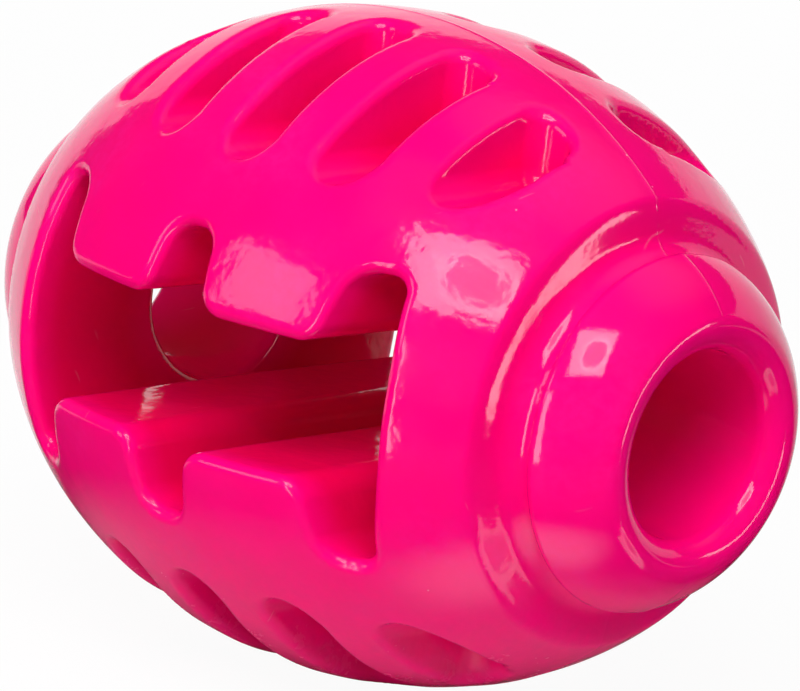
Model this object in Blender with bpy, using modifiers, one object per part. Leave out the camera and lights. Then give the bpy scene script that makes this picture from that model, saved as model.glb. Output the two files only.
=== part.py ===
"""Rugby ball dog toy: two identical rubber half mouldings, bonded along the centre seam.

The ball's long axis lies on X, the seam plane is Y = 0 and +Z is up. The origin is the ball's centre.
Lengths are in metres.
"""

import math

import bmesh
import bpy
from mathutils import Matrix

# Ball: the body is an ellipsoid of revolution that stops at a rim near each end
BODY_DIAMETER = 0.0800
BODY_AXIS_LENGTH = 0.1044
RIM_DIAMETER = 0.0541
RIM_FILLET = 0.00175

# Groove and nose at each end: diameters of the profile's corners, and how far each lies ahead of the rim
GROOVE_WALL_DIAMETER = 0.0517
GROOVE_WALL_AHEAD = 0.00037
GROOVE_WALL_FILLET = 0.0100
GROOVE_COVE_DIAMETER = 0.0420
GROOVE_COVE_AHEAD = 0.0012
GROOVE_COVE_FILLET = 0.0032
GROOVE_ROOT_DIAMETER = 0.0410
GROOVE_ROOT_AHEAD = 0.00375
GROOVE_ROOT_FILLET = 0.0003
NOSE_BACK_DIAMETER = 0.0437
NOSE_BACK_AHEAD = 0.0043
NOSE_BACK_FILLET = 0.0010
NOSE_CROWN_DIAMETER = 0.0398
NOSE_CROWN_AHEAD = 0.0094
NOSE_CROWN_FILLET = 0.0153
NOSE_FACE_DIAMETER = 0.0307
NOSE_FACE_AHEAD = 0.01265
NOSE_FACE_FILLET = 0.0030

# Bore through each end wall, with a rounded lip
BORE_DIAMETER = 0.0228
BORE_LIP_FILLET = 0.0030

# Window right through the ball along Y, with two teeth on each jaw. Its end walls bow outwards
WINDOW_LENGTH = 0.0580
WINDOW_NOTCH_LENGTH = 0.0548
JAW_GAP = 0.0162
TOOTH_HEIGHT = 0.0089
TOOTH_PITCH = 0.0249
TOOTH_TIP_WIDTH = 0.0160
TOOTH_ROOT_WIDTH = 0.0190
TOOTH_TIP_FILLET = 0.0032
NOTCH_FILLET = 0.0030
WALL_FILLET = 0.0026
WALL_BEND_HEIGHT = 0.0060
WALL_BEND_FILLET = 0.0600

# Blind slots cored into each half from the side, above and below the window
SLOTS_IN_ROW = 5
SLOT_PITCH = 0.0136
SLOT_WIDTH = 0.0066
SLOT_START_HEIGHT = 0.0248
SLOT_WEB = 0.0106
SLOT_FLOOR_FILLET = 0.0028

# Bond line between the two halves
SEAM_GAP = 0.0003

# Fineness of the round surfaces
TURN_STEPS = 48
BODY_STEPS = 18
ARC_STEP = math.radians(24.0)
SLOT_FLOOR_RESOLUTION = 2

# Cutters reach past the surface that they cut by this much
CUTTER_REACH = 0.0060

WELD_DISTANCE = 0.000001
RUBBER_COLOUR = (0.92, 0.004, 0.205, 1.0)
RUBBER_ROUGHNESS = 0.22

# Values that follow from the sizes above
BODY_RADIUS = BODY_DIAMETER / 2
BODY_HALF_AXIS = BODY_AXIS_LENGTH / 2
RIM_X = BODY_HALF_AXIS * math.sqrt(1 - (RIM_DIAMETER / BODY_DIAMETER) ** 2)
NOSE_FACE_X = RIM_X + NOSE_FACE_AHEAD
TOOTH_TIP_Z = JAW_GAP / 2
NOTCH_Z = TOOTH_TIP_Z + TOOTH_HEIGHT


def filleted(corners, closed):
    """Points of an outline whose corners (x, y, fillet radius) are rounded by tangent arcs.

    Where two neighbouring fillets need more than the edge between them, both give way in proportion.
    """
    count = len(corners)
    edges = count if closed else count - 1
    length = [math.dist(corners[i][:2], corners[(i + 1) % count][:2]) for i in range(edges)]
    turn = [0.0] * count
    reach = [0.0] * count
    for i in range(count) if closed else range(1, count - 1):
        (ax, ay, _), (bx, by, radius), (cx, cy, _) = corners[i - 1], corners[i], corners[(i + 1) % count]
        inward = math.atan2(by - ay, bx - ax)
        outward = math.atan2(cy - by, cx - bx)
        turn[i] = math.remainder(outward - inward, math.tau)
        reach[i] = radius * math.tan(abs(turn[i]) / 2)
    share = [1.0] * count
    for i in range(edges):
        j = (i + 1) % count
        needed = reach[i] + reach[j]
        if needed > length[i]:
            share[i] = min(share[i], length[i] / needed)
            share[j] = min(share[j], length[i] / needed)
    points = []
    for i, (x, y, radius) in enumerate(corners):
        if not reach[i]:
            points.append((x, y))
            continue
        before = corners[i - 1]
        heading = math.atan2(y - before[1], x - before[0])
        tangent = reach[i] * share[i]
        radius *= share[i]
        side = math.copysign(1.0, turn[i])
        start_x = x - tangent * math.cos(heading)
        start_y = y - tangent * math.sin(heading)
        centre_x = start_x - side * radius * math.sin(heading)
        centre_y = start_y + side * radius * math.cos(heading)
        steps = max(1, math.ceil(abs(turn[i]) / ARC_STEP))
        for k in range(steps + 1):
            angle = heading + turn[i] * k / steps
            points.append((centre_x + side * radius * math.sin(angle), centre_y - side * radius * math.cos(angle)))
    return points


def end_corners():
    """Corners of one end's profile as (distance along the axis, radius, fillet), from the bore's floor to the rim.

    The bore is blind here and ends inside the window, which opens it.
    """
    bore_floor = WINDOW_LENGTH / 2 - CUTTER_REACH
    return [
        (bore_floor, 0.0, 0.0),
        (bore_floor, BORE_DIAMETER / 2, 0.0),
        (NOSE_FACE_X, BORE_DIAMETER / 2, BORE_LIP_FILLET),
        (NOSE_FACE_X, NOSE_FACE_DIAMETER / 2, NOSE_FACE_FILLET),
        (RIM_X + NOSE_CROWN_AHEAD, NOSE_CROWN_DIAMETER / 2, NOSE_CROWN_FILLET),
        (RIM_X + NOSE_BACK_AHEAD, NOSE_BACK_DIAMETER / 2, NOSE_BACK_FILLET),
        (RIM_X + GROOVE_ROOT_AHEAD, GROOVE_ROOT_DIAMETER / 2, GROOVE_ROOT_FILLET),
        (RIM_X + GROOVE_COVE_AHEAD, GROOVE_COVE_DIAMETER / 2, GROOVE_COVE_FILLET),
        (RIM_X + GROOVE_WALL_AHEAD, GROOVE_WALL_DIAMETER / 2, GROOVE_WALL_FILLET),
        (RIM_X, RIM_DIAMETER / 2, RIM_FILLET),
    ]


def ball_profile():
    """Half section of the whole ball as (distance along the axis, radius), from one end to the other."""
    end = end_corners()
    rim_angle = math.asin(RIM_X / BODY_HALF_AXIS)
    body = []
    for k in range(1, BODY_STEPS):
        angle = rim_angle * (1 - 2 * k / BODY_STEPS)
        body.append((BODY_HALF_AXIS * math.sin(angle), BODY_RADIUS * math.cos(angle), 0.0))
    other_end = [(-along, radius, fillet) for along, radius, fillet in reversed(end)]
    return filleted(end + body + other_end, closed=False)


def window_corners():
    """Corners of the toothed window in the XZ plane, anticlockwise from the right end wall."""
    near_tip = (TOOTH_PITCH - TOOTH_TIP_WIDTH) / 2
    far_tip = (TOOTH_PITCH + TOOTH_TIP_WIDTH) / 2
    near_root = (TOOTH_PITCH - TOOTH_ROOT_WIDTH) / 2
    far_root = (TOOTH_PITCH + TOOTH_ROOT_WIDTH) / 2
    jaw_right = [
        (WINDOW_LENGTH / 2, WALL_BEND_HEIGHT, WALL_BEND_FILLET),
        (WINDOW_NOTCH_LENGTH / 2, NOTCH_Z, WALL_FILLET),
        (far_root, NOTCH_Z, NOTCH_FILLET),
        (far_tip, TOOTH_TIP_Z, TOOTH_TIP_FILLET),
        (near_tip, TOOTH_TIP_Z, TOOTH_TIP_FILLET),
        (near_root, NOTCH_Z, NOTCH_FILLET),
    ]
    upper = jaw_right + [(-x, z, fillet) for x, z, fillet in reversed(jaw_right)]
    lower = [(-x, -z, fillet) for x, z, fillet in upper]
    return upper + lower


def slot_corners():
    """Corners of one slot in the XZ plane, drawn smaller all round by the floor's fillet."""
    half_width = SLOT_WIDTH / 2 - SLOT_FLOOR_FILLET
    bottom = SLOT_START_HEIGHT + SLOT_FLOOR_FILLET
    top = BODY_RADIUS + CUTTER_REACH
    return [
        (half_width, top, 0.0),
        (-half_width, top, 0.0),
        (-half_width, bottom, half_width),
        (half_width, bottom, half_width),
    ]


def rubber(name):
    """Glossy pink rubber for one half."""
    material = bpy.data.materials.new(name)
    material.use_nodes = True
    shader = material.node_tree.nodes["Principled BSDF"]
    shader.inputs["Base Color"].default_value = RUBBER_COLOUR
    shader.inputs["Roughness"].default_value = RUBBER_ROUGHNESS
    shader.inputs["Metallic"].default_value = 0.0
    material.diffuse_color = RUBBER_COLOUR
    return material


def extruded_mesh(name, corners, depth, edge_fillet=0.0, resolution=0):
    """Closed mesh of an XZ outline carried along Y from -depth to +depth, with rounded face edges if asked."""
    curve = bpy.data.curves.new(name, "CURVE")
    curve.dimensions = "2D"
    curve.fill_mode = "BOTH"
    curve.extrude = depth - edge_fillet
    curve.bevel_depth = edge_fillet
    curve.bevel_resolution = resolution
    points = filleted(corners, closed=True)
    spline = curve.splines.new("POLY")
    spline.points.add(len(points) - 1)
    for point, (x, y) in zip(spline.points, points):
        point.co = (x, y, 0.0, 1.0)
    spline.use_cyclic_u = True
    drawn = bpy.data.objects.new(name, curve)
    bpy.context.scene.collection.objects.link(drawn)
    evaluated = drawn.evaluated_get(bpy.context.evaluated_depsgraph_get())
    mesh = bpy.data.meshes.new_from_object(evaluated)
    bpy.data.objects.remove(drawn)
    bpy.data.curves.remove(curve)
    shape = bmesh.new()
    shape.from_mesh(mesh)
    bmesh.ops.remove_doubles(shape, verts=shape.verts, dist=WELD_DISTANCE)
    bmesh.ops.rotate(shape, verts=shape.verts, matrix=Matrix.Rotation(math.pi / 2, 3, "X"))
    bmesh.ops.recalc_face_normals(shape, faces=shape.faces)
    shape.to_mesh(mesh)
    shape.free()
    return mesh


def cutter(name, mesh, collection):
    """Hidden object that only cuts others."""
    tool = bpy.data.objects.new(name, mesh)
    tool.hide_render = True
    tool.display_type = "WIRE"
    collection.objects.link(tool)
    return tool


def window_cutter(collection):
    mesh = extruded_mesh("window_cutter", window_corners(), BODY_RADIUS + CUTTER_REACH)
    return cutter("window_cutter", mesh, collection)


def slots_mesh():
    """All the slots of one half, the half at -Y: a row above the window and a row below it."""
    depth = (BODY_RADIUS + CUTTER_REACH - SLOT_WEB / 2) / 2
    middle = -SLOT_WEB / 2 - depth
    one = extruded_mesh("slot", slot_corners(), depth, SLOT_FLOOR_FILLET, SLOT_FLOOR_RESOLUTION)
    row = bmesh.new()
    for flip in (0.0, math.pi):
        for k in range(SLOTS_IN_ROW):
            x = (k - (SLOTS_IN_ROW - 1) / 2) * SLOT_PITCH
            place = Matrix.Translation((x, middle, 0.0)) @ Matrix.Rotation(flip, 4, "Y")
            copy = one.copy()
            copy.transform(place)
            row.from_mesh(copy)
            bpy.data.meshes.remove(copy)
    mesh = bpy.data.meshes.new("slot_cutters")
    row.to_mesh(mesh)
    row.free()
    bpy.data.meshes.remove(one)
    return mesh


def other_side_mesh():
    """Block that takes away everything past the bond line of the half at -Y."""
    side = 2 * (NOSE_FACE_X + CUTTER_REACH)
    block = bmesh.new()
    bmesh.ops.create_cube(block, size=side)
    bmesh.ops.translate(block, verts=block.verts, vec=(0.0, side / 2 - SEAM_GAP / 2, 0.0))
    mesh = bpy.data.meshes.new("other_side")
    block.to_mesh(mesh)
    block.free()
    return mesh


def profile_mesh():
    """The ball's half section as a chain of edges, laid along X for the turn about that axis."""
    points = ball_profile()
    mesh = bpy.data.meshes.new("ball_profile")
    edges = [(i, i + 1) for i in range(len(points) - 1)]
    mesh.from_pydata([(along, 0.0, radius) for along, radius in points], edges, [])
    return mesh


def cut(part, tool):
    modifier = part.modifiers.new(tool.name, "BOOLEAN")
    modifier.operation = "DIFFERENCE"
    modifier.solver = "EXACT"
    modifier.object = tool


def half_moulding(name, turn, window, parts, cutters):
    """One half of the ball, turned about +Z from the half at -Y, with its window, teeth and slots."""
    half = bpy.data.objects.new(name, profile_mesh())
    parts.objects.link(half)
    half.data.materials.append(rubber(name + "_rubber"))
    spin = half.modifiers.new("turned_ball", "SCREW")
    spin.axis = "X"
    spin.angle = math.tau
    spin.steps = TURN_STEPS
    spin.render_steps = TURN_STEPS
    spin.use_merge_vertices = True
    spin.merge_threshold = WELD_DISTANCE
    spin.use_smooth_shade = True
    other_side = cutter(name + "_other_side", other_side_mesh(), cutters)
    slots = cutter(name + "_slots", slots_mesh(), cutters)
    for tool in (other_side, slots):
        tool.rotation_euler = (0.0, 0.0, turn)
    for tool in (other_side, window, slots):
        cut(half, tool)
    return half


def main():
    for old in list(bpy.data.objects):
        bpy.data.objects.remove(old)
    parts = bpy.data.collections.new("rugby_ball_dog_toy")
    cutters = bpy.data.collections.new("cutters")
    bpy.context.scene.collection.children.link(parts)
    bpy.context.scene.collection.children.link(cutters)
    window = window_cutter(cutters)
    half_moulding("near_half", 0.0, window, parts, cutters)
    half_moulding("far_half", math.pi, window, parts, cutters)
    bpy.context.view_layer.update()


main()
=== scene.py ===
"""Looks of the rugby ball dog toy: two glossy pink rubber halves on a pale studio floor."""

import math

import bpy
import numpy as np
from mathutils import Matrix, Quaternion, Vector
from mathutils.geometry import tessellate_polygon


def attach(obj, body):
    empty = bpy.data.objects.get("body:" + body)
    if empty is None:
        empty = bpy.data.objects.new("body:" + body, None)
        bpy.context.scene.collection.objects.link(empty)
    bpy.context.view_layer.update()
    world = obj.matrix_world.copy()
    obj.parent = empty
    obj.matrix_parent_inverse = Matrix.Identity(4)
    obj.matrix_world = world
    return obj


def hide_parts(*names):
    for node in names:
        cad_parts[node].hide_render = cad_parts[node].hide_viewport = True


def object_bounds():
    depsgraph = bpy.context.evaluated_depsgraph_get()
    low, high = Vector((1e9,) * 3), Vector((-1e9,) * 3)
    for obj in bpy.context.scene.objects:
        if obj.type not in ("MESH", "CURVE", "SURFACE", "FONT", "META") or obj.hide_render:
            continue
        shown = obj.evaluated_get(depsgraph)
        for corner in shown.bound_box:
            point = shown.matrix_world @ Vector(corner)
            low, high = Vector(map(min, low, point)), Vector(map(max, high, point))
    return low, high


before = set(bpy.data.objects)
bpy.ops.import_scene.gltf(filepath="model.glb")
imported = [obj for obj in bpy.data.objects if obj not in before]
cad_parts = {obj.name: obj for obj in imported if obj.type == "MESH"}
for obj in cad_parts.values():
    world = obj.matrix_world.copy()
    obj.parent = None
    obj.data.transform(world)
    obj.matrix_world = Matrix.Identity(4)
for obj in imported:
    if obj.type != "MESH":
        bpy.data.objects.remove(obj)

bl_info = {
    "name": "Rugby ball dog toy",
    "version": (1, 0, 0),
    "blender": (4, 5, 0),
    "location": "View3D > Sidebar > Dog Toy",
    "description": "Builds the moulded rubber halves of a rugby ball dog toy and its studio stage",
    "category": "Object",
}

CAD_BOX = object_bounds()

# Small values that keep divisions and comparisons safe
TINY = 1e-9
ARC_SLACK = 1e-6
SEAM_SLACK = 1e-7

# Slots beside the middle one on each side, and how much their walls count as depth for the painted shade of the inner
# walls
SLOTS_BESIDE = 2
SLOT_SHADE = 0.45

# Radius where the seam's relief starts, clear of the bore, and the width over which it comes in
SEAM_START = 0.0145
SEAM_FADE = 0.003

# Grid layers by the seam in mesh steps, and the Newton steps that put the corners on the surface
SEAM_LAYERS = (0.2, 0.6, 1.15, 1.9)
NEWTON_STEPS = 4

# Depths under the skin between which the pink turns into the darker, redder painted shade of the inner walls
SHADE_DEPTHS = (0.0004, 0.0060)

# Shares of haze, scuffs and dust in the colour
HAZE_SHARE = 0.45
SCUFF_SHARE = 0.2
DUST_SHARE = 0.5

# How far red, green and blue light wander through the rubber
GLOW_RADIUS = (1.0, 0.08, 0.25)
GLOW_SCALE = 0.003

# Sockets of a Mix node that blends colours
MIX_A, MIX_B, MIX_RESULT = 6, 7, 2

# Dimmed patch of the large softbox across its face, the ring around it and the soft card's fading edge
PATCH_MIDDLE = (0.60, 0.46, 0.0)
PATCH_EDGE = (0.27, 0.33)
RING_INSIDE = (0.30, 0.33)
RING_OUTSIDE = (0.40, 0.34)
RING_GLOW = 0.7
SOFT_MIDDLE = (0.5, 0.5, 0.0)
SOFT_EDGE = (0.52, 0.12)
SOFT_GLOW = 2.0

# Distance of the lamps from the ball, and of the low cards from the floor
LAMP_DISTANCE = 0.9
CARD_LIFT = 0.001

# Floor and backdrop
FLOOR_HALF = 3.0
MATT_ROUGHNESS = 0.9
UNDER_SHARE = 0.45
SWEEP_REACH = (0.03, 0.09)
BACKDROP_RADIUS = 2.6
BACKDROP_TURN = (154.0, 258.0)
BACKDROP_HEIGHT = (-0.06, 1.36)
BACKDROP_STEPS = 40


def length(name, description, default):
    """Length in metres that a user can change."""
    return bpy.props.FloatProperty(
        name=name, description=description, default=default, min=0.0, precision=5, subtype="DISTANCE", unit="LENGTH")


def share(name, description, default):
    """Share between 0 and 1 that a user can change."""
    return bpy.props.FloatProperty(name=name, description=description, default=default, min=0.0, max=1.0,
                                   subtype="FACTOR")


def colour(name, description, default):
    """Linear colour that a user can change."""
    return bpy.props.FloatVectorProperty(name=name, description=description, default=default, size=3, min=0.0,
                                         max=1.0, subtype="COLOR")


def angle(name, description, degrees):
    """Angle, given in degrees, that a user can change."""
    return bpy.props.FloatProperty(name=name, description=description, default=math.radians(degrees),
                                   subtype="ANGLE", unit="ROTATION")


def power(name, description, watts):
    """Power of a lamp that a user can change."""
    return bpy.props.FloatProperty(name=name, description=description, default=watts, min=0.0, subtype="POWER",
                                   unit="POWER")


class BallSizes(bpy.types.PropertyGroup):
    """Sizes of the moulded halves."""

    body_diameter: length("Body diameter", "Diameter of the ball at its middle", 0.07998)
    body_axis: length("Body axis", "Length of the body's ellipsoid, tip to tip", 0.1044)
    rim_diameter: length("Rim diameter", "Diameter of the edge where the body stops", 0.0541)
    rim_fillet: length("Rim fillet", "Rounding of the body's rim", 0.00175)
    groove_wall: length("Groove wall", "Diameter of the bend high in the groove's wall", 0.0517)
    groove_wall_ahead: length("Groove wall offset", "How far that bend lies ahead of the rim", 0.00037)
    groove_wall_fillet: length("Groove wall fillet", "Rounding of that bend", 0.0100)
    groove_cove: length("Groove cove", "Diameter of the corner under the groove's cove", 0.0420)
    groove_cove_ahead: length("Groove cove offset", "How far that corner lies ahead of the rim", 0.0012)
    groove_cove_fillet: length("Groove cove fillet", "Rounding of the cove", 0.0032)
    groove_root: length("Groove root", "Diameter of the crease at the groove's bottom", 0.0410)
    groove_root_ahead: length("Groove root offset", "How far that crease lies ahead of the rim", 0.00375)
    groove_root_fillet: length("Groove root fillet", "Rounding of that crease", 0.0003)
    nose_back: length("Nose back", "Diameter of the nose's back edge", 0.0437)
    nose_back_ahead: length("Nose back offset", "How far the nose's back edge lies ahead of the rim", 0.0043)
    nose_back_fillet: length("Nose back fillet", "Rounding of the nose's back edge", 0.0010)
    nose_crown: length("Nose crown", "Diameter of the corner under the nose's crown", 0.0398)
    nose_crown_ahead: length("Nose crown offset", "How far that corner lies ahead of the rim", 0.0094)
    nose_crown_fillet: length("Nose crown fillet", "Rounding of the nose's crown", 0.0153)
    nose_face: length("Nose face", "Diameter of the flat at the nose's front", 0.0307)
    nose_face_ahead: length("Nose face offset", "How far the nose's front lies ahead of the rim", 0.01265)
    nose_face_fillet: length("Nose face fillet", "Rounding of the nose's front", 0.0030)
    bore_diameter: length("Bore diameter", "Diameter of the hole through each end", 0.0228)
    window_length: length("Window length", "Length of the toothed window along the ball", 0.0580)
    window_notch_length: length("Window notch length", "Length of the window between its outer notches", 0.0548)
    jaw_gap: length("Jaw gap", "Gap between the teeth of the two jaws", 0.0162)
    tooth_height: length("Tooth height", "Height of a tooth above its notch", 0.0089)
    tooth_pitch: length("Tooth pitch", "Distance between the two teeth of a jaw", 0.0249)
    tooth_tip: length("Tooth tip", "Width of a tooth at its tip", 0.0160)
    tooth_root: length("Tooth root", "Width of a tooth at its root", 0.0190)
    tooth_fillet: length("Tooth fillet", "Rounding of a tooth's corners", 0.0032)
    notch_fillet: length("Notch fillet", "Rounding of a tooth's root in its notch", 0.0030)
    wall_fillet: length("Wall fillet", "Rounding of the notch corner at the window's end wall", 0.0026)
    wall_bend_height: length("Wall bend height", "Height where the bowed end wall bends inwards", 0.0060)
    wall_bend: length("Wall bend", "Rounding of that bend", 0.0600)
    tooth_crown: length("Tooth crown", "How much a tooth swells towards the seam", 0.0004)
    window_rim: length("Window rim", "Rounding of the window's edge on the body", 0.00125)
    slot_pitch: length("Slot pitch", "Distance between neighbouring slots", 0.0136)
    slot_width: length("Slot width", "Width of a slot", 0.0066)
    slot_start: length("Slot start", "Height where a slot starts above the middle", 0.0248)
    slot_web: length("Slot web", "Wall between the slots of the two halves", 0.0106)
    slot_floor: length("Slot floor fillet", "Rounding of a slot's floor", 0.0028)
    slot_rim: length("Slot rim", "Rounding of a slot's edge on the body", 0.0014)
    seam_swell: length("Seam swell", "Height of the soft swell along the seam", 0.00007)
    seam_swell_width: length("Seam swell width", "Width over which that swell fades", 0.0018)
    seam_flash: length("Seam flash", "Height of the fine flash on the seam", 0.00006)
    seam_flash_width: length("Seam flash width", "Width over which the flash fades", 0.00016)
    mesh_step: length("Mesh step", "Spacing of the grid that the surface is worked out on", 0.00056)


class BallFinish(bpy.types.PropertyGroup):
    """Colours and finish of the rubber."""

    pink: colour("Pink", "Main colour of the rubber", (0.900, 0.0005, 0.172))
    deep_pink: colour("Deep pink", "Colour of the faintly deeper cloudy patches", (0.880, 0.0004, 0.160))
    haze_pink: colour("Haze pink", "Colour of the fine pale haze on the skin", (0.900, 0.0080, 0.230))
    # Darker, redder pink painted into the inner walls by their depth under the skin: painted shade of the recesses
    inner_shade_pink: colour("Inner pink", "Redder colour of the inner walls", (0.760, 0.0004, 0.078))
    # Darker, duller pink on the lower side, where less light falls: painted shade
    underside_shade_pink: colour("Bloom pink", "Colour where a dull bloom lies on the rubber", (0.680, 0.007, 0.150))
    dust: colour("Dust", "Colour of dust specks and scuffs", (0.900, 0.450, 0.560))
    # How strongly the lower side is roughened by a dull bloom and darkened by painted shade
    bloom_and_shade: share("Bloom and shade", "Strength of the dull bloom on the ball's lower side", 0.55)
    roughness: share("Roughness", "Gloss of the clean rubber", 0.06)
    patchy_roughness: share("Patchy roughness", "How much duller the body gets in cloudy patches", 0.06)
    dull_roughness: share("Dull roughness", "Gloss of bloomed and dusty rubber", 0.42)
    shine: share("Shine", "Strength of the mirror reflection", 0.27)
    glow: share("Glow", "How much light wanders through the rubber", 0.08)
    wave_height: length("Wave height", "Height of the broad waves that the mould left", 0.00010)
    grain_height: length("Grain height", "Height of the fine grain", 0.000012)


class StageLook(bpy.types.PropertyGroup):
    """Camera and lights of the studio."""

    view_turn: angle("View turn", "Turn of the camera about the vertical", 42.929)
    view_height: angle("View height", "Height of the camera above the horizon", 13.074)
    view_roll: angle("View roll", "Tilt of the camera about its own axis", 6.816)
    view_distance: length("View distance", "Distance of the camera from the ball's centre", 1.007715)
    view_right: bpy.props.FloatProperty(name="View right", description="Camera's shift to the right",
                                        default=0.0007898, subtype="DISTANCE", unit="LENGTH", precision=6)
    view_up: bpy.props.FloatProperty(name="View up", description="Camera's shift upwards",
                                     default=-0.0001629, subtype="DISTANCE", unit="LENGTH", precision=6)
    lens: bpy.props.FloatProperty(name="Lens", description="Focal length of the camera in millimetres on a "
                                  "36 mm sensor", default=380.54, min=1.0)
    key_power: power("Key power", "Power of the large softbox", 6.2)
    key_middle: share("Key middle", "How much the middle of the large softbox is dimmed", 0.6)
    fill_power: power("Fill power", "Power of the matt fill light above", 4.2)
    right_power: power("Right power", "Power of the matt light at the right", 1.1)
    front_power: power("Front power", "Power of the matt light in front", 1.8)
    rear_power: power("Rear power", "Power of the matt light behind", 7.0)
    side_power: power("Side power", "Power of the small panel at the left", 1.25)
    right_card: power("Right card", "Power of the small card by the nose, which shows only in reflections", 0.051)
    front_card: power("Front card", "Power of the narrow card in front, which shows only in reflections", 0.035)
    ceiling_card: power("Ceiling card", "Power of the soft sheet above, which shows only in reflections", 0.6)
    low_card: power("Low card", "Power of the small card on the floor, which shows only in reflections", 0.0048)
    groove_card: power("Groove card", "Power of the card on the floor that the groove's cove mirrors", 0.0062)
    white: colour("White", "Colour of the floor and the backdrop", (0.80, 0.80, 0.80))
    ambient: share("Ambient", "Brightness of the dim room around the stage", 0.04)
    floor_white: share("Floor white", "How much of the floor is plain white to the camera", 0.95)
    floor_reach: length("Floor reach", "How far the lit part of the floor throws light back at the ball", 0.25)
    mirrored_reach: length("Mirrored reach", "How far the floor shows in the ball's reflections", 0.050)


def rounded_chain(corners):
    """Lines and tangent arcs of an open outline whose inner corners (u, v, fillet radius) are rounded.

    Each fillet's arc touches both of its edges at radius times the tangent of half the turn from the corner. The first
    and last lines run on without end. Lines are (start, direction, length) and arcs are (centre, radius, middle angle,
    half span, turn's sign).
    """
    points = np.array([corner[:2] for corner in corners])
    radii = np.array([corner[2] for corner in corners[1:-1]])
    steps = np.diff(points, axis=0)
    course = np.arctan2(steps[:, 1], steps[:, 0])
    turn = np.remainder(np.diff(course) + np.pi, 2 * np.pi) - np.pi
    reach = radii * np.tan(np.abs(turn) / 2)
    along = np.stack([np.cos(course), np.sin(course)], axis=1)
    begin = np.concatenate([[-np.inf], reach])
    end = np.linalg.norm(steps, axis=1) - np.concatenate([reach, [-np.inf]])
    side = np.sign(turn)
    normal = np.stack([-along[:-1, 1], along[:-1, 0]], axis=1) * side[:, None]
    centre = points[1:-1] - along[:-1] * reach[:, None] + normal * radii[:, None]
    middle = course[:-1] + turn / 2 - side * np.pi / 2
    lines = list(zip(points[:-1], along, begin, end))
    arcs = list(zip(centre, radii, middle, np.abs(turn) / 2, side))
    return lines, arcs


def chain_distance(u, v, chain, last=None):
    """Signed distance of points (u, v) from a rounded chain that has the solid on its left, positive outside.

    Every line and arc counts only where its own normal passes through the point, and the nearest of them wins. A
    function given as last takes the place of the last line. The normals' two parts come with the distance.
    """
    lines, arcs = chain
    nearest = np.full(u.shape, np.inf)
    slope_u, slope_v = np.zeros(u.shape), np.zeros(u.shape)

    def take(distance, normal_u, normal_v, counts):
        closer = counts & (np.abs(distance) < np.abs(nearest))
        nearest[closer] = distance[closer]
        slope_u[closer] = np.broadcast_to(normal_u, u.shape)[closer]
        slope_v[closer] = np.broadcast_to(normal_v, u.shape)[closer]

    for i, (start, along, begin, end) in enumerate(lines):
        across_u, across_v = u - start[0], v - start[1]
        place = across_u * along[0] + across_v * along[1]
        found = (across_u * along[1] - across_v * along[0], along[1], -along[0])
        if last is not None and i == len(lines) - 1:
            found = last(u, v)
        take(*found, (place >= begin - TINY) & (place <= end + TINY))
    for centre, radius, middle, half, side in arcs:
        bearing = np.arctan2(v - centre[1], u - centre[0])
        off = np.abs(np.remainder(bearing - middle + np.pi, 2 * np.pi) - np.pi)
        away = side * (np.hypot(u - centre[0], v - centre[1]) - radius)
        take(away, side * np.cos(bearing), side * np.sin(bearing), off <= half + ARC_SLACK)
    return nearest, slope_u, slope_v


def rounded_max(first, second, radius, lean=0.0):
    """Overlap of two solids given by signed distances, its edge rolled over by a ball of that radius.

    lean is the cosine of the angle between the two normals. Between the feet of the ball's centre on both surfaces,
    the distance is that from the ball, by the law of cosines on the two distances, and elsewhere the larger one.
    """
    lean = np.clip(lean, -0.9, 0.9)
    a, b = first + radius, second + radius
    ball = np.sqrt(np.maximum(a ** 2 + b ** 2 - 2 * lean * a * b, 0.0) / (1 - lean ** 2)) - radius
    rolled = (a > lean * b) & (b > lean * a) & (a + b > 0)
    return np.where(rolled, np.maximum(ball, np.maximum(first, second)), np.maximum(first, second))


def end_chain(s):
    """Half section of one end from the bore to the rim, with the body's tangent as its last line.

    The bore stops between the teeth and the end wall, where the window opens it.
    """
    half_axis, radius = s.body_axis / 2, s.body_diameter / 2
    rim_r = s.rim_diameter / 2
    rim_u = half_axis * math.sqrt(1 - (rim_r / radius) ** 2)
    slope = radius ** 2 * rim_u / (half_axis ** 2 * rim_r)
    face = rim_u + s.nose_face_ahead
    bore_end = (s.window_length / 2 + (s.tooth_pitch + s.tooth_root) / 2) / 2
    return rounded_chain([
        (bore_end, -radius, 0.0),
        (bore_end, s.bore_diameter / 2, s.nose_face_fillet),
        (face, s.bore_diameter / 2, s.nose_face_fillet),
        (face, s.nose_face / 2, s.nose_face_fillet),
        (rim_u + s.nose_crown_ahead, s.nose_crown / 2, s.nose_crown_fillet),
        (rim_u + s.nose_back_ahead, s.nose_back / 2, s.nose_back_fillet),
        (rim_u + s.groove_root_ahead, s.groove_root / 2, s.groove_root_fillet),
        (rim_u + s.groove_cove_ahead, s.groove_cove / 2, s.groove_cove_fillet),
        (rim_u + s.groove_wall_ahead, s.groove_wall / 2, s.groove_wall_fillet),
        (rim_u, rim_r, s.rim_fillet),
        (rim_u - half_axis, rim_r + slope * half_axis, 0.0),
    ])


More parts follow.
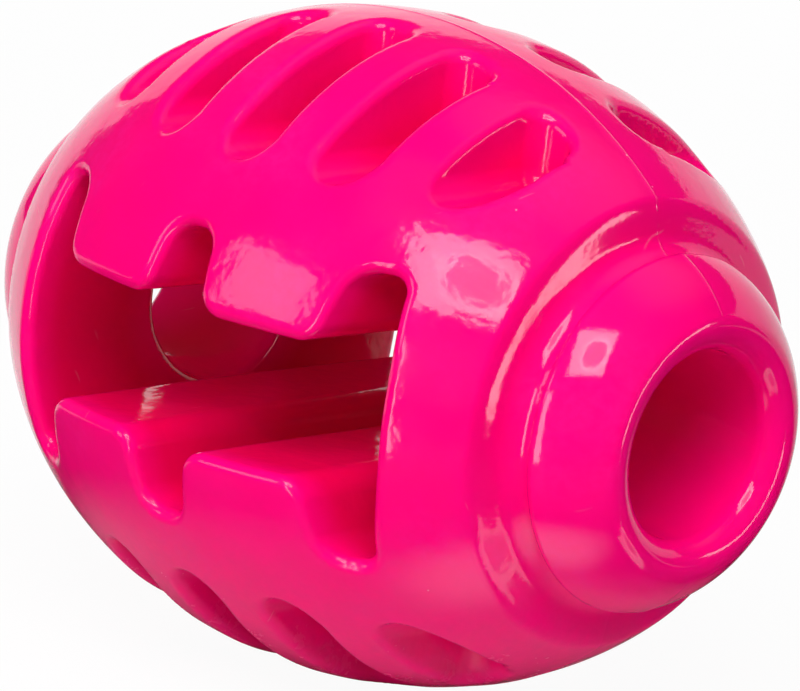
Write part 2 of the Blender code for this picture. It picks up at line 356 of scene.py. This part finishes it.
def window_chain(s):
    """Quarter outline of the toothed window, from the middle notch to the end wall."""
    tip_z = s.jaw_gap / 2
    notch_z = tip_z + s.tooth_height
    wall = s.window_length / 2
    return rounded_chain([
        (-wall, notch_z, 0.0),
        ((s.tooth_pitch - s.tooth_root) / 2, notch_z, s.notch_fillet),
        ((s.tooth_pitch - s.tooth_tip) / 2, tip_z, s.tooth_fillet),
        ((s.tooth_pitch + s.tooth_tip) / 2, tip_z, s.tooth_fillet),
        ((s.tooth_pitch + s.tooth_root) / 2, notch_z, s.notch_fillet),
        (s.window_notch_length / 2, notch_z, s.wall_fillet),
        (wall, s.wall_bend_height, s.wall_bend),
        (wall, -wall, 0.0),
    ])


def ball_field(s):
    """Signed distance from the moulded ball as a function of points, mirrored across all three centre planes.

    The turned ball is the distance from its half section at (|x|, hypot(y, z)), less a swell and a fine flash that die
    away exponentially from the seam. The window is cut with a rounded rim by the distance from its outline at
    (|x|, |z|), and each slot by a round-ended bar that stops at the web with a rounded floor.
    """
    ends, window = end_chain(s), window_chain(s)
    half_axis, radius = s.body_axis / 2, s.body_diameter / 2
    seam_top = s.seam_swell + s.seam_flash
    slot_r = s.slot_width / 2

    def body(u, r):
        """Distance from the body's ellipsoid to first order, and its normal."""
        scaled = np.hypot(u / half_axis, r / radius)
        steep = np.maximum(np.hypot(u / half_axis ** 2, r / radius ** 2), TINY)
        return scaled * (scaled - 1) / steep, u / half_axis ** 2 / steep, r / radius ** 2 / steep

    def field(p):
        x, y, z = np.abs(p[..., 0]), np.abs(p[..., 1]), np.abs(p[..., 2])
        r = np.hypot(y, z)
        seam = s.seam_swell * np.exp(-y / s.seam_swell_width) + s.seam_flash * np.exp(-y / s.seam_flash_width)
        outer = np.clip((r - SEAM_START) / SEAM_FADE, 0.0, 1.0)
        ball, ball_x, ball_r = chain_distance(x, r + (seam_top - seam) * outer, ends, body)
        ball_z = ball_r * z / np.maximum(r, TINY)
        crown = s.tooth_crown * (1 - np.minimum(y / radius, 1.0) ** 2)
        jaws, jaws_x, jaws_z = chain_distance(x, z + crown, window)
        solid = rounded_max(ball, jaws, s.window_rim, ball_x * jaws_x + ball_z * jaws_z)
        place = x - s.slot_pitch * np.minimum(np.round(x / s.slot_pitch), SLOTS_BESIDE)
        drop = np.minimum(z - s.slot_start - slot_r, 0.0)
        from_bar = np.maximum(np.hypot(place, drop), TINY)
        slot = rounded_max(from_bar - slot_r, s.slot_web / 2 - y, s.slot_floor)
        lean = np.where(y > s.slot_web / 2 + s.slot_floor, -(ball_x * place + ball_z * drop) / from_bar, 0.0)
        return rounded_max(solid, -slot, s.slot_rim, lean)

    def depth(p):
        """Depth of points under the turned ball's skin for the painted shade of the inner walls, where the slots count
        as shallower.
        """
        under = -chain_distance(np.abs(p[:, 0]), np.hypot(p[:, 1], p[:, 2]), ends, body)[0]
        return under * np.where(np.abs(p[:, 2]) > s.slot_start - s.slot_rim, SLOT_SHADE, 1.0)

    return field, depth


def gradient(field, p, step):
    """Central differences of the field at points p."""
    shifts = np.eye(3) * step
    return np.stack([(field(p + shift) - field(p - shift)) / (2 * step) for shift in shifts], axis=-1)


def surface_net(values, axes):
    """Corners and outward quads of the surface where values on a grid change sign.

    Each grid cell that the surface crosses gets one corner, the mean of the crossings on its edges, and each crossed
    grid edge gets the quad of the four cells around it.
    """
    cells = np.array(values.shape) - 1
    owners, spots, quads = [], [], []
    for d in range(3):
        e, g = (d + 1) % 3, (d + 2) % 3
        low = np.take(values, range(values.shape[d] - 1), axis=d)
        high = np.take(values, range(1, values.shape[d]), axis=d)
        node = np.array(np.nonzero((low < 0) != (high < 0)))
        first, second = low[tuple(node)], high[tuple(node)]
        spot = np.stack([axes[k][node[k]] for k in range(3)], axis=-1)
        spot[:, d] += first / (first - second) * np.diff(axes[d])[node[d]]
        ring = []
        for back_e, back_g in ((1, 1), (0, 1), (0, 0), (1, 0)):
            cell = node.copy()
            cell[e] -= back_e
            cell[g] -= back_g
            fits = np.all((cell >= 0) & (cell < cells[:, None]), axis=0)
            number = np.where(fits, np.ravel_multi_index(np.clip(cell, 0, cells[:, None] - 1), cells), -1)
            owners.append(number[fits])
            spots.append(spot[fits])
            ring.append(number)
        ring = np.stack(ring, axis=1)
        whole = np.all(ring >= 0, axis=1)
        ring[first > 0] = ring[first > 0, ::-1]
        quads.append(ring[whole])
    quads = np.concatenate(quads)
    used, faces = np.unique(quads, return_inverse=True)
    owners, spots = np.concatenate(owners), np.concatenate(spots)
    rank = np.searchsorted(used, owners)
    known = (rank < len(used)) & (used[np.minimum(rank, len(used) - 1)] == owners)
    rank, spots = rank[known], spots[known]
    count = np.bincount(rank, minlength=len(used))
    corners = np.stack([np.bincount(rank, spots[:, k], len(used)) for k in range(3)], axis=-1) / count[:, None]
    return corners, faces.reshape(-1, 4)


def half_surface(s):
    """Corners, quads, normals and depths under the ball's skin of the half at -Y, open along the seam.

    The field is worked out on one quarter of a grid and mirrored, with finer layers by the seam. The middle layer of
    cells straddles the seam plane, so that its corners lie in it. Newton steps along the gradient then put all corners
    on the surface.
    """
    field, depth = ball_field(s)
    step = s.mesh_step
    reach = s.body_diameter / 2 + 2 * step
    far = s.body_axis / 2 + 2 * step
    x = (np.arange(math.ceil(far / step)) + 0.5) * step
    z = (np.arange(math.ceil(reach / step)) + 0.5) * step
    by_seam = step * np.array(SEAM_LAYERS)
    y = np.concatenate([-by_seam[:1], by_seam, by_seam[-1] + step * np.arange(1, math.ceil(reach / step))])
    grid = np.stack(np.meshgrid(x, y, z, indexing="ij"), axis=-1)
    quarter = field(grid)
    values = np.concatenate([quarter[::-1], quarter], axis=0)[:, ::-1]
    values = np.concatenate([values[:, :, ::-1], values], axis=2)
    axes = (np.concatenate([-x[::-1], x]), -y[::-1], np.concatenate([-z[::-1], z]))
    corners, quads = surface_net(values, axes)
    seam = corners[:, 1] > -SEAM_SLACK
    for _ in range(NEWTON_STEPS):
        slope = gradient(field, corners, step / 50)
        fall = field(corners)[:, None] * slope / np.maximum(np.sum(slope ** 2, axis=1), 0.25)[:, None]
        corners -= np.clip(fall, -step, step)
        corners[seam, 1] = 0.0
    probe = corners.copy()
    probe[seam, 1] = -step / 20
    normals = gradient(field, probe, step / 40)
    normals /= np.linalg.norm(normals, axis=1)[:, None]
    return corners, quads, normals, depth(corners)


def seam_faces(corners, quads):
    """Triangles that close a half along the seam plane, facing +Y.

    The edges that only one quad uses are chained into loops, and each loop is filled on its own.
    """
    edges = np.stack([quads, np.roll(quads, -1, axis=1)], axis=-1).reshape(-1, 2)
    low, high = edges.min(axis=1), edges.max(axis=1)
    _, first, count = np.unique(low * len(corners) + high, return_index=True, return_counts=True)
    after = {int(end): int(start) for start, end in edges[first[count == 1]]}
    triangles = []
    while after:
        loop = [next(iter(after))]
        while after[loop[-1]] != loop[0]:
            loop.append(after[loop[-1]])
        for corner in loop:
            del after[corner]
        filled = np.array(loop)[np.array(tessellate_polygon([[Vector(corners[i]) for i in loop]]))]
        sides = corners[filled]
        facing = np.cross(sides[:, 1] - sides[:, 0], sides[:, 2] - sides[:, 0])[:, 1]
        filled[facing < 0] = filled[facing < 0, ::-1]
        triangles.append(filled)
    return np.concatenate(triangles)


def skin_object(name, corners, quads, caps, normals, depths, material):
    """Smooth closed mesh object from whole arrays, its flat seam faces with normals of their own.

    The depth of each corner under the ball's skin goes with it for the painted shade of the inner walls.
    """
    mesh = bpy.data.meshes.new(name)
    mesh.from_pydata(corners.tolist(), [], quads.tolist() + caps.tolist())
    mesh.materials.append(material)
    mesh.shade_smooth()
    flat = np.cross(corners[caps[:, 1]] - corners[caps[:, 0]], corners[caps[:, 2]] - corners[caps[:, 0]]).sum(axis=0)
    flat = np.broadcast_to(flat / np.linalg.norm(flat), (caps.size, 3))
    mesh.normals_split_custom_set(np.concatenate([normals[quads.ravel()], flat]).tolist())
    mesh.attributes.new("depth", "FLOAT", "POINT").data.foreach_set("value", depths.astype(np.float32))
    mesh.update()
    skin = bpy.data.objects.new(name, mesh)
    bpy.context.scene.collection.objects.link(skin)
    return skin


def add_node(tree, kind, inputs=None, **settings):
    """New shader node with its settings, and its inputs set to values or joined to other nodes' outputs."""
    node = tree.nodes.new(kind)
    for name, value in settings.items():
        setattr(node, name, value)
    for name, value in (inputs or {}).items():
        if isinstance(value, bpy.types.NodeSocket):
            tree.links.new(value, node.inputs[name])
        else:
            node.inputs[name].default_value = value
    return node


def reckon(tree, operation, *values):
    """Output of a math node on numbers or outputs of other nodes."""
    return add_node(tree, "ShaderNodeMath", dict(enumerate(values)), operation=operation).outputs[0]


def ramp(tree, value, start, end):
    """Smooth rise from 0 at start to 1 at end."""
    inputs = {"Value": value, "From Min": start, "From Max": end}
    return add_node(tree, "ShaderNodeMapRange", inputs, interpolation_type="SMOOTHSTEP").outputs[0]


def noise(tree, place, scale, detail=2.0, roughness=0.5):
    """Output of a noise texture about 0.5."""
    inputs = {"Vector": place, "Scale": scale, "Detail": detail, "Roughness": roughness}
    return add_node(tree, "ShaderNodeTexNoise", inputs).outputs[0]


def along_ball(tree, place):
    """Distance of a place from the ball's middle along its long axis."""
    return reckon(tree, "ABSOLUTE", add_node(tree, "ShaderNodeSeparateXYZ", {"Vector": place}).outputs["X"])


def effect_group(name, outputs):
    """Empty shader node group with plain float outputs, and the ball's own coordinates."""
    tree = bpy.data.node_groups.new(name, "ShaderNodeTree")
    for output in outputs:
        tree.interface.new_socket(output, in_out="OUTPUT", socket_type="NodeSocketFloat")
    place = add_node(tree, "ShaderNodeTexCoord").outputs["Object"]
    return tree, place, tree.nodes.new("NodeGroupOutput")


def cloud_group():
    """Cloudy patches of the colour, the dull bloom and painted shade on the lower side, a fine haze and dull patches.
    """
    tree, place, result = effect_group("rubber_clouds", ("Cloud", "Bloom and shade", "Haze", "Patches"))
    tree.links.new(ramp(tree, noise(tree, place, scale=70.0, detail=3.0), 0.35, 0.70), result.inputs["Cloud"])
    height = add_node(tree, "ShaderNodeSeparateXYZ", {"Vector": place}).outputs["Z"]
    # Lower side, mottled: a dull bloom for the roughness and painted shade for the colour
    low = ramp(tree, height, -0.006, -0.034)
    patchy = ramp(tree, noise(tree, place, scale=160.0, detail=5.0, roughness=0.65), 0.28, 0.68)
    fine = ramp(tree, noise(tree, place, scale=900.0, detail=3.0, roughness=0.6), 0.25, 0.75)
    mottled = reckon(tree, "MULTIPLY_ADD", patchy, 0.65, reckon(tree, "MULTIPLY", fine, 0.35))
    tree.links.new(reckon(tree, "MULTIPLY", low, mottled), result.inputs["Bloom and shade"])
    broad = ramp(tree, noise(tree, place, scale=55.0), 0.45, 0.70)
    tree.links.new(reckon(tree, "MULTIPLY", broad, fine), result.inputs["Haze"])
    body = ramp(tree, along_ball(tree, place), 0.040, 0.036)
    tree.links.new(reckon(tree, "MULTIPLY", patchy, body), result.inputs["Patches"])
    return tree


def mark_group():
    """Dust specks, one in some cells of a pattern, and hairline scuffs along a few level lines of a noise."""
    tree, place, result = effect_group("rubber_marks", ("Specks", "Scuffs"))
    cells = add_node(tree, "ShaderNodeTexVoronoi", {"Vector": place, "Scale": 210.0, "Randomness": 1.0})
    chance = add_node(tree, "ShaderNodeSeparateColor", {"Color": cells.outputs["Color"]})
    size = reckon(tree, "MULTIPLY_ADD", chance.outputs["Green"], 0.022, 0.012)
    near = ramp(tree, reckon(tree, "SUBTRACT", cells.outputs["Distance"], size), 0.012, -0.006)
    there = reckon(tree, "GREATER_THAN", chance.outputs["Red"], 0.80)
    tree.links.new(reckon(tree, "MULTIPLY", near, there), result.inputs["Specks"])
    level = reckon(tree, "ABSOLUTE", reckon(tree, "SUBTRACT", noise(tree, place, scale=45.0, detail=1.5), 0.5))
    hair = ramp(tree, level, 0.0032, 0.0010)
    broken = ramp(tree, noise(tree, place, scale=150.0), 0.64, 0.70)
    tree.links.new(reckon(tree, "MULTIPLY", hair, broken), result.inputs["Scuffs"])
    return tree


def relief_group():
    """Broad waves of the moulded skin with ripples on the body, and its fine grain, both about 0."""
    tree, place, result = effect_group("rubber_relief", ("Waves", "Grain"))
    body = ramp(tree, along_ball(tree, place), 0.041, 0.035)
    broad = reckon(tree, "SUBTRACT", noise(tree, place, scale=95.0, detail=1.0), 0.5)
    ripple = reckon(tree, "SUBTRACT", noise(tree, place, scale=330.0), 0.5)
    ripple = reckon(tree, "MULTIPLY", ripple, reckon(tree, "MULTIPLY_ADD", body, 0.70, 0.15))
    tree.links.new(reckon(tree, "ADD", ripple, broad), result.inputs["Waves"])
    tree.links.new(reckon(tree, "SUBTRACT", noise(tree, place, scale=1500.0, detail=3.0), 0.5), result.inputs["Grain"])
    return tree


def rubber_material(finish):
    """Glossy pink rubber with cloudy colour, a dull bloom below with painted shade, painted shade on the inner walls,
    dust, scuffs and mould waves.
    """
    material = bpy.data.materials.new("pink_rubber")
    material.use_nodes = True
    tree = material.node_tree
    clouds, marks, relief = (add_node(tree, "ShaderNodeGroup", node_tree=group).outputs
                             for group in (cloud_group(), mark_group(), relief_group()))

    def blend(share_of, first, second):
        """Colour between two colours or outputs of other nodes, by the share of the second."""
        first, second = (value if isinstance(value, bpy.types.NodeSocket) else (*value, 1.0)
                         for value in (first, second))
        inputs = {"Factor": share_of, MIX_A: first, MIX_B: second}
        return add_node(tree, "ShaderNodeMix", inputs, data_type="RGBA").outputs[MIX_RESULT]

    bloom_and_shade = reckon(tree, "MULTIPLY", clouds["Bloom and shade"], finish.bloom_and_shade)
    dusty = reckon(tree, "MAXIMUM", marks["Specks"], reckon(tree, "MULTIPLY", marks["Scuffs"], SCUFF_SHARE))
    depth = add_node(tree, "ShaderNodeAttribute", attribute_name="depth").outputs["Fac"]
    pink = blend(clouds["Cloud"], finish.pink, finish.deep_pink)
    pink = blend(reckon(tree, "MULTIPLY", clouds["Haze"], HAZE_SHARE), pink, finish.haze_pink)
    # Painted shade: the pink turns darker and redder with depth under the turned ball's skin, as in the window and the
    # slots
    pink = blend(ramp(tree, depth, *SHADE_DEPTHS), pink, finish.inner_shade_pink)
    # Painted shade: the lower side turns darker and duller, where less light falls from below
    pink = blend(bloom_and_shade, pink, finish.underside_shade_pink)
    pink = blend(reckon(tree, "MULTIPLY", dusty, DUST_SHARE), pink, finish.dust)
    dull = reckon(tree, "MAXIMUM", bloom_and_shade, dusty)
    clean = reckon(tree, "MULTIPLY_ADD", clouds["Patches"], finish.patchy_roughness, finish.roughness)
    gloss = reckon(tree, "MULTIPLY_ADD", dull, finish.dull_roughness - finish.roughness, clean)
    height = reckon(tree, "MULTIPLY_ADD", relief["Waves"], finish.wave_height,
                    reckon(tree, "MULTIPLY", relief["Grain"], finish.grain_height))
    bump = add_node(tree, "ShaderNodeBump", {"Height": height, "Strength": 1.0, "Distance": 1.0})

    shader = tree.nodes["Principled BSDF"]
    shader.inputs["Specular IOR Level"].default_value = finish.shine
    shader.inputs["Subsurface Weight"].default_value = finish.glow
    shader.inputs["Subsurface Radius"].default_value = GLOW_RADIUS
    shader.inputs["Subsurface Scale"].default_value = GLOW_SCALE
    tree.links.new(pink, shader.inputs["Base Color"])
    tree.links.new(gloss, shader.inputs["Roughness"])
    tree.links.new(bump.outputs["Normal"], shader.inputs["Normal"])
    return material


class DOGTOY_OT_halves(bpy.types.Operator):
    """Make the two moulded rubber halves"""

    bl_idname = "dogtoy.halves"
    bl_label = "Moulded Halves"
    bl_options = {"REGISTER", "UNDO"}

    def execute(self, context):
        corners, quads, normals, depths = half_surface(context.scene.dogtoy_sizes)
        caps = seam_faces(corners, quads)
        material = rubber_material(context.scene.dogtoy_finish)
        half_turn = np.array([-1.0, -1.0, 1.0])
        for node, turn in (("near_half", np.ones(3)), ("far_half", half_turn)):
            skin = skin_object(node + "_skin", corners * turn, quads, caps, normals * turn, depths, material)
            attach(skin, "root")
            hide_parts(node)
        return {"FINISHED"}


def panel_light(name, place, aim, size, watts, dim_middle=0.0, soft=False, roll=0.0):
    """Rectangular softbox at a place that looks at another, rolled about its own axis by degrees.

    A patch of it can be dimmed by a share inside a brighter ring, or its light can fade softly to its edges.
    """
    lamp = bpy.data.lights.new(name, "AREA")
    lamp.shape = "RECTANGLE"
    lamp.size, lamp.size_y = size
    lamp.energy = watts
    if dim_middle or soft:
        lamp.use_nodes = True
        tree = lamp.node_tree
        across = add_node(tree, "ShaderNodeNewGeometry").outputs["Parametric"]
        inputs = {0: across, 1: SOFT_MIDDLE if soft else PATCH_MIDDLE}
        spread = add_node(tree, "ShaderNodeVectorMath", inputs, operation="DISTANCE").outputs["Value"]
        if soft:
            glow = reckon(tree, "MULTIPLY", ramp(tree, spread, *SOFT_EDGE), SOFT_GLOW)
        else:
            glow = reckon(tree, "MULTIPLY_ADD", ramp(tree, spread, *PATCH_EDGE), dim_middle, 1 - dim_middle)
            ring = reckon(tree, "MULTIPLY", ramp(tree, spread, *RING_INSIDE), ramp(tree, spread, *RING_OUTSIDE))
            glow = reckon(tree, "MULTIPLY_ADD", ring, RING_GLOW, glow)
        tree.links.new(glow, tree.nodes["Emission"].inputs["Strength"])
    light = bpy.data.objects.new(name, lamp)
    light.location = place
    turned = (place - aim).to_track_quat("Z", "Y") @ Quaternion((0.0, 0.0, 1.0), math.radians(roll))
    light.rotation_euler = turned.to_euler()
    bpy.context.scene.collection.objects.link(light)
    return light


def heading(turn, height):
    """Direction from the ball's centre, turned from -Y towards +X and raised above the horizon."""
    turn, height = math.radians(turn), math.radians(height)
    return Vector((math.sin(turn) * math.cos(height), -math.cos(turn) * math.cos(height), math.sin(height)))


def white_light(tree, shown):
    """Plain white light by the share shown, over the material's own matt paint."""
    matt = tree.nodes["Principled BSDF"]
    matt.inputs["Roughness"].default_value = MATT_ROUGHNESS
    mix = add_node(tree, "ShaderNodeMixShader", {"Fac": shown, 1: matt.outputs[0]})
    tree.links.new(add_node(tree, "ShaderNodeEmission").outputs[0], mix.inputs[2])
    tree.links.new(mix.outputs[0], tree.nodes["Material Output"].inputs["Surface"])


def floor_paint(look):
    """Pale floor that the camera sees nearly white, with the ball's soft shadow.

    Only the part of it near the ball throws light back. The part under the ball and the white sweep behind it show in
    reflections.
    """
    material = bpy.data.materials.new("pale_floor")
    material.use_nodes = True
    tree = material.node_tree
    seen = add_node(tree, "ShaderNodeLightPath").outputs
    place = add_node(tree, "ShaderNodeTexCoord").outputs["Object"]
    flat = add_node(tree, "ShaderNodeVectorMath", {0: place, 1: (1.0, 1.0, 0.0)}, operation="MULTIPLY").outputs[0]
    away = add_node(tree, "ShaderNodeVectorMath", {0: flat}, operation="LENGTH").outputs["Value"]
    near = ramp(tree, away, look.floor_reach, look.floor_reach / 2)
    under = ramp(tree, away, look.mirrored_reach * 1.25, look.mirrored_reach * 0.75)
    under = reckon(tree, "MULTIPLY", under, UNDER_SHARE)
    thrown = reckon(tree, "MULTIPLY", near, seen["Is Diffuse Ray"])
    lit = reckon(tree, "MAXIMUM", seen["Is Camera Ray"], reckon(tree, "MAXIMUM", thrown, under))
    paint = add_node(tree, "ShaderNodeVectorMath", {0: tuple(look.white), "Scale": lit}, operation="SCALE")
    tree.links.new(paint.outputs[0], tree.nodes["Principled BSDF"].inputs["Base Color"])
    back = (-math.sin(look.view_turn), math.cos(look.view_turn), 0.0)
    behind = add_node(tree, "ShaderNodeVectorMath", {0: place, 1: back}, operation="DOT_PRODUCT").outputs["Value"]
    mirrored = reckon(tree, "MULTIPLY", ramp(tree, behind, *SWEEP_REACH), seen["Is Glossy Ray"])
    white_light(tree, reckon(tree, "MULTIPLY_ADD", seen["Is Camera Ray"], look.floor_white, mirrored))
    return material


def backdrop_paint(look):
    """Pale backdrop that shows plain white to the camera and in reflections."""
    material = bpy.data.materials.new("pale_backdrop")
    material.use_nodes = True
    tree = material.node_tree
    tree.nodes["Principled BSDF"].inputs["Base Color"].default_value = (*look.white, 1.0)
    seen = add_node(tree, "ShaderNodeLightPath").outputs
    white_light(tree, reckon(tree, "MAXIMUM", seen["Is Camera Ray"], seen["Is Glossy Ray"]))
    return material


def stage_object(name, corners, faces, material):
    """Plain mesh object of the stage."""
    mesh = bpy.data.meshes.new(name)
    mesh.from_pydata(np.asarray(corners).tolist(), [], [tuple(face) for face in faces])
    mesh.materials.append(material)
    item = bpy.data.objects.new(name, mesh)
    bpy.context.scene.collection.objects.link(item)
    return item


def photo_camera(look):
    """Camera at the photograph's angle, rolled and shifted in its own plane."""
    turn, height, roll = look.view_turn, look.view_height, look.view_roll
    back = Vector((math.sin(turn) * math.cos(height), -math.cos(turn) * math.cos(height), math.sin(height)))
    right = Vector((math.cos(turn), math.sin(turn), 0.0))
    up = back.cross(right)
    rolled_right = math.cos(roll) * right + math.sin(roll) * up
    rolled_up = math.cos(roll) * up - math.sin(roll) * right
    data = bpy.data.cameras.new("photo_camera")
    data.sensor_fit = "HORIZONTAL"
    data.sensor_width = 36.0
    data.lens = look.lens
    data.clip_start = 0.01
    camera = bpy.data.objects.new("photo_camera", data)
    place = look.view_right * rolled_right + look.view_up * rolled_up + look.view_distance * back
    turned = Matrix((rolled_right, rolled_up, back)).transposed()
    camera.matrix_world = Matrix.LocRotScale(place, turned.to_quaternion(), None)
    bpy.context.scene.collection.objects.link(camera)
    bpy.context.scene.camera = camera


def studio_lights(look, floor_z):
    """Softboxes, matt fills that stay out of reflections, and cards that show only in reflections."""
    centre = Vector((0.0, 0.0, 0.0))
    along, ahead, up = Vector((1.0, 0.0, 0.0)), Vector((0.0, 1.0, 0.0)), Vector((0.0, 0.0, 1.0))

    def around(name, turn, height, size, watts, **settings):
        """Lamp that looks at the ball's centre from a heading in degrees."""
        return panel_light(name, LAMP_DISTANCE * heading(turn, height), centre, size, watts, **settings)

    around("key_softbox", 32.5, 46.0, (0.46, 0.45), look.key_power, dim_middle=look.key_middle)
    around("side_panel", -20.0, 21.0, (0.34, 0.29), look.side_power)
    fills = (
        around("top_fill", 36.0, 60.0, (0.9, 0.9), look.fill_power),
        around("rear_fill", 223.0, 10.0, (0.9, 0.7), look.rear_power),
        around("front_fill", 20.0, 8.0, (0.9, 0.5), look.front_power),
        around("right_fill", 85.0, 40.0, (0.7, 0.7), look.right_power),
    )
    for fill in fills:
        fill.visible_glossy = False

    by_nose = Vector((0.172, 0.0790, 0.016))
    in_front = Vector((0.048, -0.125, 0.0035))
    under_nose = Vector((0.050, -0.027, floor_z + CARD_LIFT))
    by_groove = Vector((0.088, 0.008, floor_z + CARD_LIFT))
    cards = (
        panel_light("right_card", by_nose, by_nose - along, (0.108, 0.017), look.right_card, roll=50.0),
        panel_light("front_card", in_front, in_front + ahead, (0.016, 0.083), look.front_card),
        around("ceiling_card", 165.0, 68.0, (1.1, 0.9), look.ceiling_card, soft=True),
        panel_light("low_card", under_nose, under_nose + up, (0.054, 0.030), look.low_card, soft=True),
        panel_light("groove_card", by_groove, by_groove + up, (0.042, 0.020), look.groove_card, look.key_middle),
    )
    for card, turn in zip(cards[-2:], (22.0, 36.0)):
        card.rotation_euler = (math.pi, 0.0, math.radians(turn))
    for card in cards:
        card.visible_camera = False
        card.visible_diffuse = False


def studio_world(look):
    """White to the camera and a dim room to everything else."""
    world = bpy.data.worlds.new("studio")
    bpy.context.scene.world = world
    world.use_nodes = True
    tree = world.node_tree
    shown = add_node(tree, "ShaderNodeLightPath").outputs["Is Camera Ray"]
    tree.links.new(reckon(tree, "MAXIMUM", shown, look.ambient), tree.nodes["Background"].inputs["Strength"])
    tree.nodes["Background"].inputs["Color"].default_value = (1.0, 1.0, 1.0, 1.0)


def backdrop_sheet():
    """Corners and faces of an upright sheet bent round the back of the stage.

    It is the arc at one radius between two turns, carried from its foot to its head.
    """
    turn = np.radians(np.linspace(*BACKDROP_TURN, BACKDROP_STEPS + 1))
    arc = np.stack([np.sin(turn), -np.cos(turn), 0 * turn], axis=1) * BACKDROP_RADIUS
    foot, head = BACKDROP_HEIGHT
    corners = np.concatenate([arc + (0.0, 0.0, foot), arc + (0.0, 0.0, head)])
    first = np.arange(BACKDROP_STEPS)
    above = first + len(arc)
    return corners, np.stack([first, first + 1, above + 1, above], axis=1).tolist()


class DOGTOY_OT_stage(bpy.types.Operator):
    """Make the floor, the backdrop, the lights and the camera"""

    bl_idname = "dogtoy.stage"
    bl_label = "Studio Stage"
    bl_options = {"REGISTER", "UNDO"}

    def execute(self, context):
        look = context.scene.dogtoy_stage
        context.scene.view_settings.view_transform = "Standard"
        floor_z = CAD_BOX[0][2]
        photo_camera(look)
        studio_lights(look, floor_z)
        studio_world(look)
        ground = [(x, y, floor_z) for x, y in ((-1, -1), (1, -1), (1, 1), (-1, 1))]
        ground = np.array(ground) * (FLOOR_HALF, FLOOR_HALF, 1.0)
        floor = stage_object("floor", ground, [(0, 1, 2, 3)], floor_paint(look))
        backdrop = stage_object("backdrop", *backdrop_sheet(), backdrop_paint(look))
        return {"FINISHED"}


class DOGTOY_PT_panel(bpy.types.Panel):
    """Sizes, finish and stage of the dog toy"""

    bl_idname = "DOGTOY_PT_panel"
    bl_label = "Rugby Ball Dog Toy"
    bl_space_type = "VIEW_3D"
    bl_region_type = "UI"
    bl_category = "Dog Toy"

    def draw(self, context):
        layout = self.layout
        for group in (context.scene.dogtoy_sizes, context.scene.dogtoy_finish, context.scene.dogtoy_stage):
            box = layout.box()
            for name in group.__annotations__:
                box.prop(group, name)
        layout.operator("dogtoy.halves")
        layout.operator("dogtoy.stage")


CLASSES = (BallSizes, BallFinish, StageLook, DOGTOY_OT_halves, DOGTOY_OT_stage, DOGTOY_PT_panel)


def register():
    for cls in CLASSES:
        bpy.utils.register_class(cls)
    bpy.types.Scene.dogtoy_sizes = bpy.props.PointerProperty(type=BallSizes)
    bpy.types.Scene.dogtoy_finish = bpy.props.PointerProperty(type=BallFinish)
    bpy.types.Scene.dogtoy_stage = bpy.props.PointerProperty(type=StageLook)


def unregister():
    del bpy.types.Scene.dogtoy_stage
    del bpy.types.Scene.dogtoy_finish
    del bpy.types.Scene.dogtoy_sizes
    for cls in reversed(CLASSES):
        bpy.utils.unregister_class(cls)


def main():
    register()
    bpy.ops.dogtoy.stage()
    bpy.ops.dogtoy.halves()


if __name__ == "__main__":
    main()
